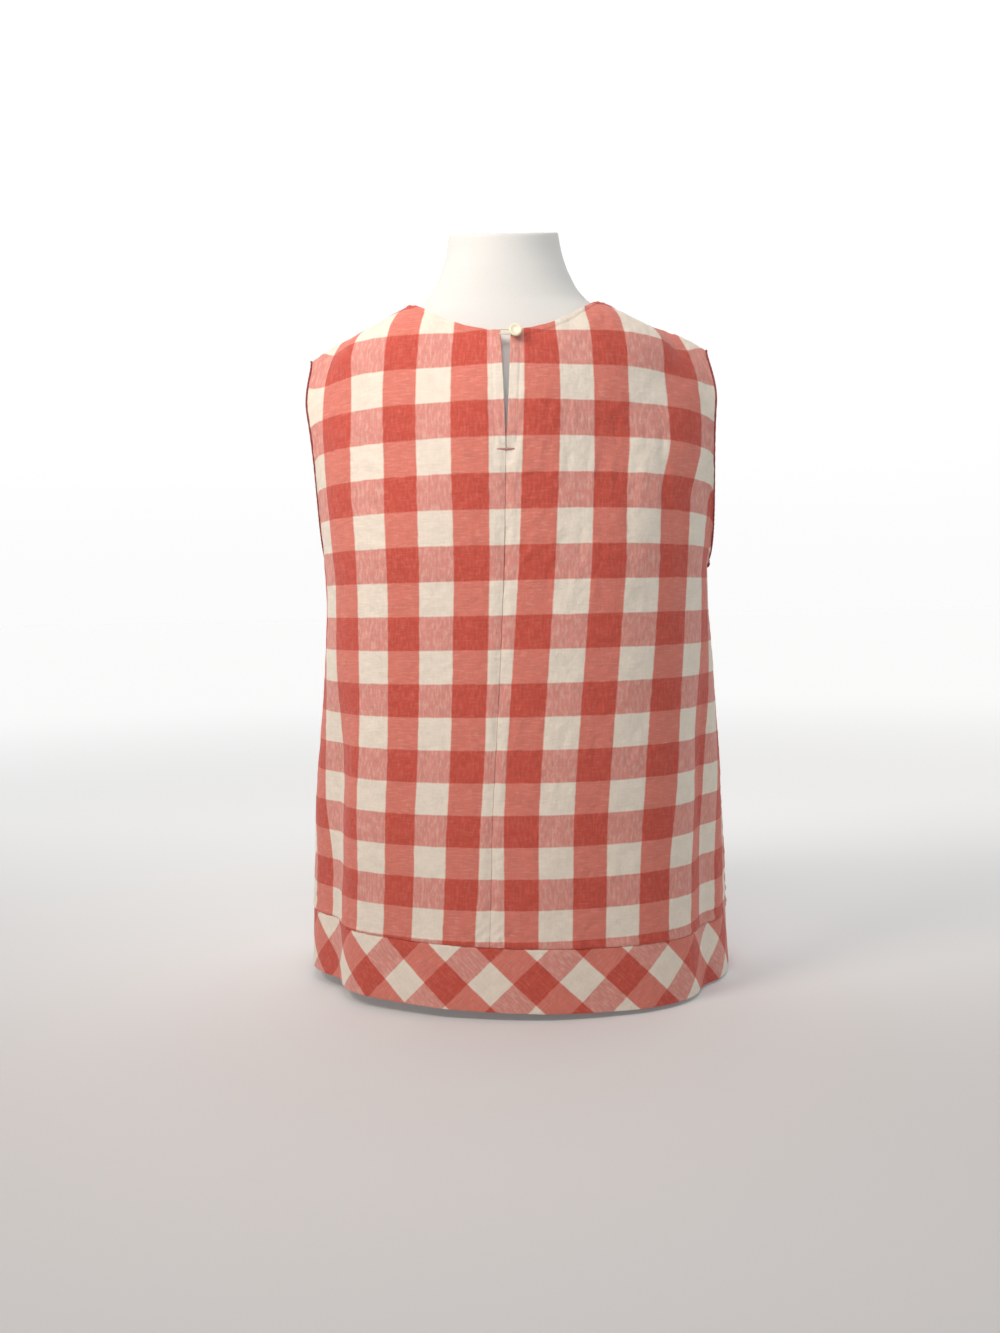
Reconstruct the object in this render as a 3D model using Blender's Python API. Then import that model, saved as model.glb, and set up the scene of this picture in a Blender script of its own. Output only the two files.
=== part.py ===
"""A sleeveless gingham blouse on a limbless dress form, as separate closed solids in metres.

+Z is up, the blouse's front faces -Y and the wearer's left side is +X. The floor is at Z = 0 and the
form stands on it. The blouse hangs from the form's shoulders, shoulder blades and bust.

Every cloth panel is a grid of points. Below the underarm the points lie on level rings, given by a short
table. Above it each column of the grid runs on up to the neckline or the shoulder seam as one smooth curve.
The grid then gets the thickness of the cloth.
"""

import math

import bpy
import numpy as np
from mathutils import Vector
from mathutils.bvhtree import BVHTree

# ---------------------------------------------------------------- driving sizes, metres and degrees
WALL = 0.0016  # the cloth, with its seam allowances and turned edges
BINDING_WALL = 0.0024  # the bound edge of an armhole is folded double
SEAM_GAP = 0.0003  # between two pieces that are sewn together
BINDING_GAP = 0.0007  # between an armhole's edge and its binding
FORM_GAP = 0.0018  # between the cloth and the form that it rests on

UNDERARM = 0.425  # height of the underarm points
BAND_SEAM = 0.0723  # height of the seam above the hem band, at the centre back
HEM = 0.008  # height of the hem at the centre back

NECK_BACK = (0.0, 0.1550, 0.6210)  # the neckline at the centre back
NECK_SIDE = (0.0885, 0.0660, 0.6510)  # where the neckline meets the left shoulder seam
NECK_FRONT = (0.0, -0.0300, 0.5850)  # the neckline at the centre front
# The outer end of the wearer's left and right shoulder seam, and how far the armhole's edge leans outwards as
# it leaves the underarm and as it reaches that end. Both are given for the left half, as if mirrored.
SHOULDER_TIP = {1: (0.1915, 0.0580, 0.6110), -1: (0.1965, 0.0580, 0.6140)}
ARMHOLE_LEAN = {1: (0.010, 0.062), -1: (0.012, 0.045)}
ARMHOLE_BINDING = 0.0065  # width of the bound edge

SLIT_DEPTH = 0.098  # the opening at the back neck
SLIT_HALF_WIDTH = 0.0040  # at the neck edge
BUTTON_RADIUS = 0.0056
BUTTON_PLACE = (-0.0085, 0.6200)  # X and height of its middle, on the wearer's right of the slit
BUTTON_SHANK = (0.0011, 0.0017)  # radius and height of the sewn shank
BUTTON_THICKNESS = 0.0026
LOOP_THREAD = 0.0006  # radius of the loop's thread
LOOP_BEND = 0.0021  # radius of its bend round the shank
LOOP_REACH = 0.0140  # from the shank to where the loop is sewn down, across the slit
BAR_TACK = (0.0150, 0.0018, 0.0009)  # width, height and depth of the stitched bar below the slit
LAID_GAP = 0.0003  # between the cloth and what is sewn onto it

NECK_SHARE = 0.37  # of a back or front half's columns, those that end at the neckline
COLUMNS = 16  # grid columns from the centre back to a side seam
RINGS_BELOW = 14  # grid rows from the hem band up to the underarm
RINGS_ABOVE = 13  # grid rows from the underarm up to the shoulder
BAND_RINGS = 3  # grid rows of the hem band
FORM_SIDES = 56


def table(names, rows):
    """The rows as one array for each named column."""
    return dict(zip(names.split(), np.array(rows, float).T))


# Level rings of the cloth, from the hem up. half is half the width. back, front and widest are the places
# along Y of the centre back, the centre front and the widest line. square is 2 for an ellipse and more for
# a boxier ring. lean is the ring's sideways shift, and turn the degrees by which the cloth has crept round
# towards the wearer's left. left_seam and right_seam are the side seams, in degrees from the centre back.
# tilt is how far the wearer's left side of the ring is lifted.
BODY = table(
    "height  half    back    front   widest square  lean     turn left_seam right_seam tilt",
    [
        (0.008, 0.2258, 0.1700, -0.1720, -0.030, 2.30, -0.0028, 8.7, 88.8, 93.2, 0.006),
        (0.072, 0.2213, 0.1690, -0.1700, -0.030, 2.30, -0.0028, 8.7, 87.8, 92.2, 0.006),
        (0.132, 0.2173, 0.1690, -0.1670, -0.028, 2.30, -0.0038, 8.2, 85.8, 92.2, 0.005),
        (0.188, 0.2133, 0.1690, -0.1640, -0.024, 2.30, -0.0038, 7.7, 81.8, 91.2, 0.004),
        (0.243, 0.2078, 0.1690, -0.1620, -0.020, 2.30, -0.0058, 7.2, 77.8, 88.2, 0.003),
        (0.297, 0.2013, 0.1690, -0.1600, -0.014, 2.30, -0.0068, 6.5, 80.8, 85.2, 0.002),
        (0.349, 0.1953, 0.1690, -0.1580, -0.006, 2.35, -0.0068, 5.6, 85.0, 87.0, 0.001),
        (0.395, 0.1903, 0.1690, -0.1550, 0.000, 2.40, -0.0068, 4.8, 87.0, 89.0, 0.000),
        (0.425, 0.1893, 0.1695, -0.1520, 0.004, 2.40, -0.0058, 3.9, 88.3, 89.7, 0.000),
        (0.470, 0.1883, 0.1700, -0.1480, 0.008, 2.40, -0.0038, 3.1, 88.3, 89.7, 0.000),
    ],
)

# Folds that run down the cloth: the middle and spread in degrees from the centre back, the depth in metres
# (below zero it is a hollow), the height where it starts and the height from which it has its full depth.
FOLDS = table(
    "middle spread depth  top    full",
    [
        (55, 7.5, -0.0140, 0.345, 0.200),  # the hollow beside the left side seam
        (-68, 7.0, -0.0110, 0.375, 0.220),  # the hollow beside the right side seam
        (27, 9.0, -0.0025, 0.300, 0.060),
        (-30, 10.0, -0.0030, 0.320, 0.080),
        (98, 14.0, 0.0040, 0.330, 0.120),
        (-103, 14.0, 0.0040, 0.340, 0.120),
        (145, 10.0, -0.0080, 0.340, 0.100),
        (-148, 10.0, -0.0070, 0.340, 0.100),
        (180, 12.0, -0.0040, 0.300, 0.060),
    ],
)

# Level rings of the dress form, from the floor up to the neck. back, front and widest are places along Y.
FORM = table(
    "height half    back    front   widest square",
    [
        (0.000, 0.1500, 0.1300, -0.0850, 0.020, 2.2),
        (0.060, 0.1650, 0.1400, -0.0950, 0.020, 2.2),
        (0.180, 0.1400, 0.1180, -0.0750, 0.020, 2.2),
        (0.250, 0.1260, 0.1120, -0.0700, 0.020, 2.2),
        (0.330, 0.1380, 0.1300, -0.0850, 0.020, 2.2),
        (0.420, 0.1580, 0.1550, -0.1150, 0.030, 2.2),
        (0.500, 0.1640, 0.1640, -0.0950, 0.040, 2.10),
        (0.550, 0.1680, 0.1630, -0.0680, 0.045, 2.00),
        (0.585, 0.1700, 0.1580, -0.0400, 0.050, 1.90),
        (0.605, 0.1675, 0.1530, -0.0220, 0.053, 1.85),
        (0.617, 0.1600, 0.1490, -0.0100, 0.056, 1.85),
        (0.627, 0.1480, 0.1455, -0.0010, 0.059, 1.85),
        (0.636, 0.1300, 0.1425, 0.0070, 0.063, 1.85),
        (0.644, 0.1080, 0.1400, 0.0140, 0.069, 1.90),
        (0.653, 0.0850, 0.1375, 0.0210, 0.076, 1.95),
        (0.664, 0.0700, 0.1355, 0.0270, 0.081, 2.00),
        (0.680, 0.0595, 0.1335, 0.0310, 0.083, 2.00),
        (0.697, 0.0530, 0.1325, 0.0330, 0.083, 2.00),
        (0.7165, 0.0490, 0.1320, 0.0340, 0.083, 2.00),
    ],
)
CAP_SLOPE = 0.27  # the neck's flat top rises towards the front
CAP_FADE = 0.680  # height from which the rings begin to slope towards the cap


# ---------------------------------------------------------------- curves and rings
def hermite(start, end, start_slope, end_slope, t):
    """The smooth curve from start to end that leaves and arrives along the two slopes."""
    return (
        (2 * t**3 - 3 * t**2 + 1) * start
        + (t**3 - 2 * t**2 + t) * start_slope
        + (3 * t**2 - 2 * t**3) * end
        + (t**3 - t**2) * end_slope
    )


def ease(t):
    """0 to 1, level at both ends."""
    t = np.clip(t, 0, 1)
    return t * t * (3 - 2 * t)


def through(at, knots, values):
    """A smooth curve through the values that a table gives at its knots."""
    slopes = np.gradient(values, knots)
    i = np.clip(np.searchsorted(knots, at) - 1, 0, len(knots) - 2)
    step = knots[i + 1] - knots[i]
    t = np.clip((at - knots[i]) / step, 0, 1)
    return hermite(values[i], values[i + 1], slopes[i] * step, slopes[i + 1] * step, t)


def sections(rings, height):
    return {name: through(height, rings["height"], rings[name]) for name in rings}


def radius_at(angle, s):
    """Distance of a ring from its middle, at an angle from the centre back."""
    along, across = np.cos(angle), np.sin(angle)
    depth = np.where(along > 0, s["back"] - s["widest"], s["widest"] - s["front"])
    power = s["square"]
    return ((np.abs(across) / s["half"]) ** power + (np.abs(along) / depth) ** power) ** (-1 / power)


def fold_depth(angle, height):
    """How far the folds move the cloth outwards."""
    moved = np.zeros(np.broadcast(angle, height).shape)
    for middle, spread, depth, top, full in zip(*FOLDS.values()):
        away = (np.degrees(angle) - middle + 180) % 360 - 180
        moved += depth * np.exp(-((away / spread) ** 2)) * ease((top - height) / (top - full))
    return moved


def body_point(angle, height):
    """A point of the cloth's inner face, by its angle from the centre back and its height."""
    s = sections(BODY, height)
    radius = radius_at(angle, s) + fold_depth(angle, height)
    turned = angle + np.radians(s["turn"])
    return np.stack(
        [
            s["lean"] + radius * np.sin(turned),
            s["widest"] + radius * np.cos(turned),
            height + s["tilt"] * np.sin(turned),
        ],
        axis=-1,
    )


def form_point(angle, height):
    """A point of the dress form."""
    s = sections(FORM, height)
    radius = radius_at(angle, s)
    x, y = radius * np.sin(angle), s["widest"] + radius * np.cos(angle)
    return np.stack([x, y, height + 0 * angle], axis=-1)


# ---------------------------------------------------------------- the panels
def curve(start, end, start_slope, end_slope, t, side=1):
    """A smooth curve between two points of the wearer's left half, or its mirror image at side -1."""
    ends = (np.array(v, float) for v in (start, end, start_slope, end_slope))
    return hermite(*ends, np.asarray(t, float)[..., None]) * (side, 1, 1)


def shoulder_seam(t, side):
    return curve(NECK_SIDE, SHOULDER_TIP[side], (0.100, -0.006, -0.022), (0.085, -0.004, -0.060), t, side)


def neckline(t, side, front):
    """From the centre back, or the centre front, to the shoulder seam."""
    if front:
        return curve(NECK_FRONT, NECK_SIDE, (0.200, 0, 0), (0.010, 0.150, 0.090), t, side)
    return curve(NECK_BACK, NECK_SIDE, (0.130, 0, 0), (0.020, -0.140, 0.045), t, side)


def armhole(t, side, front):
    """From the underarm up to the shoulder tip, along the front's or the back's edge."""
    underarm = body_point(panel_angle(1, UNDERARM, side, front), UNDERARM) * (side, 1, 1)
    swing = -0.31 if front else 0.19  # how far the edge swings forwards or back
    low, high = ARMHOLE_LEAN[side]
    return curve(underarm, SHOULDER_TIP[side], (low, swing, 0.06), (high, -0.65 * swing, 0.20), t, side)


def panel_angle(across, height, side, front):
    """The angle from the centre back at a share of the way from a panel's middle to its side seam."""
    s = sections(BODY, np.asarray(height, float))
    seam = s["left_seam"] if side > 0 else s["right_seam"]
    gap = np.degrees(SEAM_GAP / 2 / s["half"])
    degrees = 180 - (180 - seam - gap) * across if front else (seam - gap) * across
    return side * np.radians(degrees)


def half_panel(side, front):
    """The grid of half the front or the back: rows go up from the band seam, columns out to the side."""
    across = np.linspace(0, 1, COLUMNS + 1)
    heights = np.linspace(BAND_SEAM + SEAM_GAP / 2, UNDERARM, RINGS_BELOW + 1)[:, None]
    below = body_point(panel_angle(across, heights, side, front), heights)

    angles = panel_angle(across, UNDERARM, side, front)
    base = below[-1]
    rise = (body_point(angles, UNDERARM + 0.001) - base) / 0.001
    on_shoulder = np.clip((across - NECK_SHARE) / (1 - NECK_SHARE), 0, 1)
    ends_at_neck = (across < NECK_SHARE)[:, None]
    top = np.where(
        ends_at_neck, neckline(across / NECK_SHARE, side, front), shoulder_seam(on_shoulder, side)
    )
    inwards = 1 if front else -1
    top[:, 1] -= np.where(across < NECK_SHARE, 0, inwards * SEAM_GAP / 2)
    on_neck = np.clip(across / NECK_SHARE, 0, 1)
    lean = 0.06 + 0.12 * on_neck + 0.12 * on_shoulder
    lean_in = np.stack([0 * across, inwards * lean, 0.17 - 0.08 * on_neck - 0.05 * on_shoulder], -1)
    up = np.linspace(0, 1, RINGS_ABOVE + 1)[:, None] ** 1.3
    above = hermite(base, top, rise * 0.30, lean_in, up[..., None])
    edge = armhole(up[:, 0], side, front)
    above += (edge - above[:, -1])[:, None] * (across**4)[:, None]
    return np.concatenate([below[:-1], above])


def opened(grid, side):
    """A half of the back with its middle edge moved off the other half, and apart along the neck slit."""
    down = grid[-1, 0, 2] - grid[:, 0, 2]
    half_width = SEAM_GAP / 2 + SLIT_HALF_WIDTH * np.clip(1 - down / SLIT_DEPTH, 0, 1)
    near = (1 - np.linspace(0, 1, grid.shape[1])) ** 10
    grid[..., 0] += side * half_width[:, None] * near
    return grid


def both_halves(left, right):
    """One grid of two halves whose columns run outwards from their common middle, on the front."""
    return np.concatenate([left[:, ::-1], right[:, 1:]], axis=1)


def band(front):
    """The grid of half the hem band, which hangs from the seam down to the hem."""
    heights = np.linspace(HEM, BAND_SEAM - SEAM_GAP / 2, BAND_RINGS + 1)[:, None]
    across = np.linspace(0, 1, COLUMNS + 1)
    left, right = (
        body_point(panel_angle(across, heights, side, front), heights) for side in (1, -1)
    )
    if front:
        return both_halves(left, right)
    return np.concatenate([right[:, ::-1], left[:, 1:]], axis=1)


# ---------------------------------------------------------------- solids
def unit(vectors):
    return vectors / np.linalg.norm(vectors, axis=-1, keepdims=True)


def normals_of(grid):
    """Outward normals of a grid whose rows go up and whose columns go round by rising angle."""
    return unit(np.cross(np.gradient(grid, axis=0), np.gradient(grid, axis=1)))


def new_object(name, points, faces, material):
    mesh = bpy.data.meshes.new(name)
    mesh.from_pydata([tuple(p) for p in points], [], faces)
    mesh.materials.append(material)
    mesh.validate()
    obj = bpy.data.objects.new(name, mesh)
    bpy.context.scene.collection.objects.link(obj)
    return obj


def cloth_solid(name, inner, wall, material, outwards=None):
    """A wall of cloth on a grid of its inner face's points.

    Where the outward directions are given, the grid is a closed strip: its last column meets its first.
    """
    rows, columns, _ = inner.shape
    closed = outwards is not None
    outer = inner + wall * (outwards if closed else normals_of(inner))
    points = np.concatenate([inner.reshape(-1, 3), outer.reshape(-1, 3)])
    at = np.arange(rows * columns).reshape(rows, columns)
    lift = rows * columns
    faces = []

    def quad(a, b, c, d):
        faces.append((int(a), int(b), int(c), int(d)))

    turns = columns if closed else columns - 1
    for i in range(rows - 1):
        for j in range(turns):
            k = (j + 1) % columns
            a, b, c, d = at[i, j], at[i + 1, j], at[i + 1, k], at[i, k]
            quad(a + lift, b + lift, c + lift, d + lift)
            quad(a, d, c, b)
    for j in range(turns):
        k = (j + 1) % columns
        quad(at[0, j], at[0, j] + lift, at[0, k] + lift, at[0, k])
        quad(at[-1, j], at[-1, k], at[-1, k] + lift, at[-1, j] + lift)
    if not closed:
        for i in range(rows - 1):
            quad(at[i, 0], at[i + 1, 0], at[i + 1, 0] + lift, at[i, 0] + lift)
            quad(at[i, -1], at[i, -1] + lift, at[i + 1, -1] + lift, at[i + 1, -1])
    return new_object(name, points, faces, material)


def push_out(points, form_tree):
    """How far each point has to move so that it is FORM_GAP outside the form."""
    moves = np.zeros_like(points)
    for place in np.ndindex(points.shape[:-1]):
        point = Vector(points[place])
        near, normal, _, _ = form_tree.find_nearest(point)
        outside = (point - near).dot(normal)
        if outside < FORM_GAP:
            moves[place] = np.array(normal) * (FORM_GAP - outside)
    return moves


def relaxed(grid):
    """The grid with the points above the underarm drawn a little towards their neighbours."""
    calm = grid.copy()
    calm[1:-1, 1:-1] = (grid[2:, 1:-1] + grid[:-2, 1:-1] + grid[1:-1, 2:] + grid[1:-1, :-2]) / 4
    calm[-1, 1:-1] = (grid[-1, 2:] + grid[-1, :-2]) / 2
    calm[1:-1, 0] = (grid[2:, 0] + grid[:-2, 0]) / 2
    share = 0.4 * ease(np.arange(-RINGS_BELOW, len(grid) - RINGS_BELOW) / 3)
    return grid + (calm - grid) * share[:, None, None]


def off_the_form(grid, form_tree):
    """The grid with its corners, and then the middles of its faces, moved off the form."""
    for _ in range(5):
        grid = relaxed(grid)
        grid = grid + push_out(grid, form_tree)
    for _ in range(4):
        middles = (grid[1:, 1:] + grid[1:, :-1] + grid[:-1, 1:] + grid[:-1, :-1]) / 4
        moves = push_out(middles, form_tree)
        for rows in (slice(1, None), slice(None, -1)):
            for columns in (slice(1, None), slice(None, -1)):
                grid[rows, columns] += moves * 0.5
    return grid


def make_form(material):
    """The dress form: a stack of rings with flat ends, the upper one sloping."""
    knots = FORM["height"]
    heights = np.sort(np.append(knots, (knots[1:] + knots[:-1]) / 2))[:, None]
    angles = np.linspace(0, 2 * math.pi, FORM_SIDES, endpoint=False)
    grid = form_point(angles, heights)
    fade = np.clip((heights - CAP_FADE) / (FORM["height"][-1] - CAP_FADE), 0, 1)
    grid[..., 2] -= CAP_SLOPE * fade * (grid[..., 1] - FORM["widest"][-1])
    rows = len(grid)
    faces = [
        (i * FORM_SIDES + j, (i + 1) * FORM_SIDES + j, (i + 1) * FORM_SIDES + k, i * FORM_SIDES + k)
        for i in range(rows - 1)
        for j, k in zip(range(FORM_SIDES), [*range(1, FORM_SIDES), 0])
    ]
    faces.append(tuple(range(FORM_SIDES)))
    faces.append(tuple(reversed(range((rows - 1) * FORM_SIDES, rows * FORM_SIDES))))
    return new_object("dress_form", grid.reshape(-1, 3), faces, material)


def make_binding(name, back, front, side, material):
    """The bound edge of an armhole: a closed strip just outside the edges of the back and the front.

    Both grids come with their middle in the first column and the armhole in the last.
    """

    def round_armhole(of_back, of_front):
        """From the underarm up the back's edge, over the shoulder and down the front's."""
        up_the_back, up_the_front = of_back[RINGS_BELOW:, -1], of_front[RINGS_BELOW:, -1]
        underarm, tip = ((up_the_back[i] + up_the_front[i]) / 2 for i in (0, -1))
        return np.concatenate([[underarm], up_the_back[1:-1], [tip], up_the_front[1:-1][::-1]])

    edge = round_armhole(back, front)
    out = side * unit(round_armhole(normals_of(back), -normals_of(front)))
    along = unit(np.roll(edge, -1, 0) - np.roll(edge, 1, 0))
    away = -side * unit(np.cross(along, out))
    lines = [edge + away * w for w in (BINDING_GAP, ARMHOLE_BINDING / 2, ARMHOLE_BINDING)]
    grid = np.stack(lines if side < 0 else lines[::-1]) - out * (BINDING_WALL - WALL) / 2
    return cloth_solid(name, grid, BINDING_WALL, material, outwards=out)


def swept(name, rings, material):
    """A solid through a list of rings of points, closed by a flat face at each end."""
    sides = len(rings[0])
    faces = [
        (i * sides + j, i * sides + (j + 1) % sides, (i + 1) * sides + (j + 1) % sides, (i + 1) * sides + j)
        for i in range(len(rings) - 1)
        for j in range(sides)
    ]
    faces.append(tuple(reversed(range(sides))))
    faces.append(tuple(range((len(rings) - 1) * sides, len(rings) * sides)))
    return new_object(name, np.concatenate(rings), faces, material)


def circle(middle, radius, right, up, sides):
    turns = np.linspace(0, 2 * math.pi, sides, endpoint=False)[:, None]
    return middle + radius * (np.cos(turns) * right + np.sin(turns) * up)


def make_button(foot, right, up, facing, material):
    """A shank button that stands on its foot: a short stem and a round head."""
    shank_radius, shank_height = BUTTON_SHANK
    head = BUTTON_THICKNESS
    profile = [
        (shank_radius, 0),
        (shank_radius, shank_height),
        (BUTTON_RADIUS * 0.88, shank_height + head * 0.02),
        (BUTTON_RADIUS, shank_height + head * 0.3),
        (BUTTON_RADIUS, shank_height + head * 0.7),
        (BUTTON_RADIUS * 0.88, shank_height + head),
    ]
    rings = [circle(foot + facing * height, radius, right, up, 24) for radius, height in profile]
    return swept("button", rings, material)


def make_loop(foot, right, up, facing, material):
    """The thread loop: two strands from the left half's edge that meet round the button's shank."""
    along = np.linspace(LOOP_REACH, 0, 6)
    turns = np.linspace(0, math.pi, 9)[1:-1]
    flat = [(u, LOOP_BEND) for u in along]
    flat += [(-LOOP_BEND * math.sin(t), LOOP_BEND * math.cos(t)) for t in turns]
    flat += [(u, -LOOP_BEND) for u in along[::-1]]
    lift = facing * (LOOP_THREAD + LAID_GAP)
    path = np.array([foot + u * right + v * up + lift for u, v in flat])
    ahead = unit(np.gradient(path, axis=0))
    rings = [
        circle(point, LOOP_THREAD, np.cross(facing, step), facing, 8) for point, step in zip(path, ahead)
    ]
    return swept("button_loop", rings, material)


def make_bar_tack(foot, right, up, facing, material):
    """A low stitched bar, a little narrower on top."""
    width, height, depth = BAR_TACK
    corners = np.array([(1, 1), (-1, 1), (-1, -1), (1, -1)]) / 2
    rings = [
        foot + facing * lift + (corners[:, :1] * right * width + corners[:, 1:] * up * height) * share
        for lift, share in ((0, 1), (depth * 0.6, 1), (depth, 0.85))
    ]
    return swept("bar_tack", rings, material)


def new_material(name, colour, roughness):
    material = bpy.data.materials.new(name)
    material.use_nodes = True
    shader = material.node_tree.nodes["Principled BSDF"]
    shader.inputs["Base Color"].default_value = (*colour, 1)
    shader.inputs["Roughness"].default_value = roughness
    shader.inputs["Metallic"].default_value = 0
    return material


# ---------------------------------------------------------------- the blouse
def clear_scene():
    for obj in list(bpy.data.objects):
        bpy.data.objects.remove(obj, do_unlink=True)


def on_the_back(halves, x, height):
    """A point just off the back's outer face, at an X and a height, and the ways +X, up and outwards there."""
    points, normals = [], []
    for half in halves:
        out = normals_of(half)
        out *= np.sign(out[..., 1:2])
        near = (half[..., 0] - x) ** 2 + (half[..., 2] - height) ** 2
        i, j = np.unravel_index(np.argmin(near), near.shape)
        points.append(half[i, j] + out[i, j] * (WALL + LAID_GAP))
        normals.append(out[i, j])
    facing = unit(np.mean(normals, axis=0) * (0, 1, 1))
    right = np.array((1.0, 0.0, 0.0))
    up = np.cross(right, -facing)
    near = np.mean(points, axis=0)
    across = np.array((x, near[1], near[2]))
    return across + up * (height - near[2]) / up[2], right, up, facing


def make_closure(back_left, back_right):
    """The button on the right half, the loop that reaches it from the left, and the bar below the slit."""
    thread = new_material("thread", (0.62, 0.40, 0.38), 0.8)
    button_at = on_the_back([back_right], *BUTTON_PLACE)
    make_button(*button_at, new_material("pearl_button", (0.85, 0.80, 0.70), 0.3))
    make_loop(*button_at, thread)
    slit_end = NECK_BACK[2] - SLIT_DEPTH
    middle = back_left[np.argmin(np.abs(back_left[:, 0, 2] - slit_end)), 0, 0]
    make_bar_tack(*on_the_back([back_left, back_right], middle, slit_end), thread)


def make_blouse(form):
    gingham = new_material("gingham", (0.60, 0.20, 0.16), 0.9)
    binding = new_material("binding", (0.50, 0.10, 0.09), 0.9)

    tree = BVHTree.FromObject(form, bpy.context.evaluated_depsgraph_get())
    halves = {
        (side, front): off_the_form(half_panel(side, front), tree)
        for side in (1, -1)
        for front in (False, True)
    }
    back_left = opened(halves[1, False], 1)
    back_right = opened(halves[-1, False], -1)
    cloth_solid("back_left", back_left, WALL, gingham)
    cloth_solid("back_right", back_right[:, ::-1], WALL, gingham)
    cloth_solid("front", both_halves(halves[1, True], halves[-1, True]), WALL, gingham)
    cloth_solid("hem_band_back", band(False), WALL, gingham)
    cloth_solid("hem_band_front", band(True), WALL, gingham)
    make_binding("armhole_binding_left", back_left, halves[1, True], 1, binding)
    make_binding("armhole_binding_right", back_right, halves[-1, True], -1, binding)
    make_closure(back_left, back_right)


def main():
    clear_scene()
    form = make_form(new_material("form_cover", (0.86, 0.85, 0.82), 0.75))
    bpy.context.view_layer.update()
    make_blouse(form)


main()
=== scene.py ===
"""The looks of a sleeveless gingham blouse on a limbless dress form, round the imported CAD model.

Metres, +Z up. The blouse's front faces -Y and the wearer's left side is +X, so the camera, which sees the
back, stands on the +Y side.

Each CAD panel is a coarse grid of points. Here the same grids are made again from the same sizes, drawn
through with a smooth curve both ways, and given the relief of real cloth: turned edges, seams, puckers and
stitches.
"""

import math

import bpy
import numpy as np
from mathutils import Matrix, Vector
from mathutils.bvhtree import BVHTree

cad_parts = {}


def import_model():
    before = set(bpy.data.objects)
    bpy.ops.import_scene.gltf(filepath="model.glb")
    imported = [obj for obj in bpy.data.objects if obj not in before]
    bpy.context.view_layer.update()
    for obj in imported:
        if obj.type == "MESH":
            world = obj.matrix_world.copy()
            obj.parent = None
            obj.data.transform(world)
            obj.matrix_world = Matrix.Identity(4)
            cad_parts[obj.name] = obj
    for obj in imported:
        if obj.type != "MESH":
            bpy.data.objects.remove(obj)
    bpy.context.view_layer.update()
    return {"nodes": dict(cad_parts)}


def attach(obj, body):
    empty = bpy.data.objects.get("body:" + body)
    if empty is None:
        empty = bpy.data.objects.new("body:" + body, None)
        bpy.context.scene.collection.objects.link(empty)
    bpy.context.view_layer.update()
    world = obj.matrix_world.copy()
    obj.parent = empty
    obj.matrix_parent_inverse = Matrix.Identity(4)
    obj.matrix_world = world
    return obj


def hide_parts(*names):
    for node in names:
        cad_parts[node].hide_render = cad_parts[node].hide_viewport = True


# -------- sizes of the CAD solids, metres and degrees
WALL = 0.0016
BINDING_WALL = 0.0024
SEAM_GAP = 0.0003
BINDING_GAP = 0.0007
FORM_GAP = 0.0018
UNDERARM = 0.425
BAND_SEAM = 0.0723
HEM = 0.008
NECK_BACK = (0.0, 0.1550, 0.6210)
NECK_SIDE = (0.0885, 0.0660, 0.6510)
NECK_FRONT = (0.0, -0.0300, 0.5850)
SHOULDER_TIP = {1: (0.1915, 0.0580, 0.6110), -1: (0.1965, 0.0580, 0.6140)}  # by side, as if on the left
ARMHOLE_LEAN = {1: (0.010, 0.062), -1: (0.012, 0.045)}  # its edge's way outwards, low down and at the tip
ARMHOLE_BINDING = 0.0065
SLIT_DEPTH = 0.098
SLIT_HALF_WIDTH = 0.0040
BUTTON_RADIUS = 0.0056
BUTTON_PLACE = (-0.0085, 0.6200)  # across and up
BUTTON_SHANK = (0.0011, 0.0017)  # radius and height
BUTTON_THICKNESS = 0.0026
LOOP_THREAD = 0.0006
LOOP_BEND = 0.0021
LOOP_REACH = 0.0140
BAR_TACK = (0.0150, 0.0018, 0.0009)  # width, height and depth
LAID_GAP = 0.0003  # between the cloth and what lies on it
NECK_SHARE = 0.37  # of a half panel's columns, those that end at the neck and not at the shoulder
COLUMNS = 16
RINGS_BELOW = 14  # steps from the band's seam to the underarm, and from there to the top
RINGS_ABOVE = 13
BAND_RINGS = 3
CAP_SLOPE = 0.27  # the neck's cut falls to the back, and the rings lean into it from CAP_FADE up
CAP_FADE = 0.680

# -------- the cloth, and what else the solids leave out
CHECK_ACROSS = 0.0645  # one white and one red stripe together, across the cloth and down it
CHECK_DOWN = 0.0607
FIRST_WHITE_ROW = 0.0435  # from the neck's edge down to the middle of the first white stripe
BAND_WHITE = 0.036  # from the band's seam down to the middle of its white diamond
THREAD_PITCH = 0.0009
NECK_HEM = 0.0062  # the turned edge of the neck, as wide as its stitching is far in
SLIT_HEM = 0.0085
STITCH_DIP = (0.00045, 0.0011)  # depth and half width of the groove that a row of stitches draws
EDGE_ROUNDING = 0.45  # share of the wall's half thickness that its rim is drawn in by
CAP_ROUNDING = [(0.992, 0.0007), (0.97, 0.0012), (0.7, 0.0013), (0.3, 0.0013)]  # share of the ring, rise
BUTTON_DISH = [(0.72, 0.02), (0.66, 0.10), (0.5, 0.20), (0.3, 0.24), (0.1, 0.25)]  # shares: out, down
EDGE_SHIFT = 0.0044  # the panels run on at the armholes, over most of the binding's width
EDGE_REACH = 0.020  # how far into the panel that is felt
TIP_SHIFT = 0.0160  # at the shoulder seam the armhole's edge lies further in than below it
TIP_LENGTH = 0.042  # along the armhole, from the shoulder seam to where it is all the way out
TIP_REACH = 0.065  # how far into the panel that is felt
SCALLOP = 0.0045  # from stitch to stitch along a binding, where its edge is drawn in
SEAM_ALLOWANCE = 0.008  # the cloth inside the seams at the sides and the centre back
RIDGE_WIDTH = 0.0045  # the seam allowances of the band, pressed upwards
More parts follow.
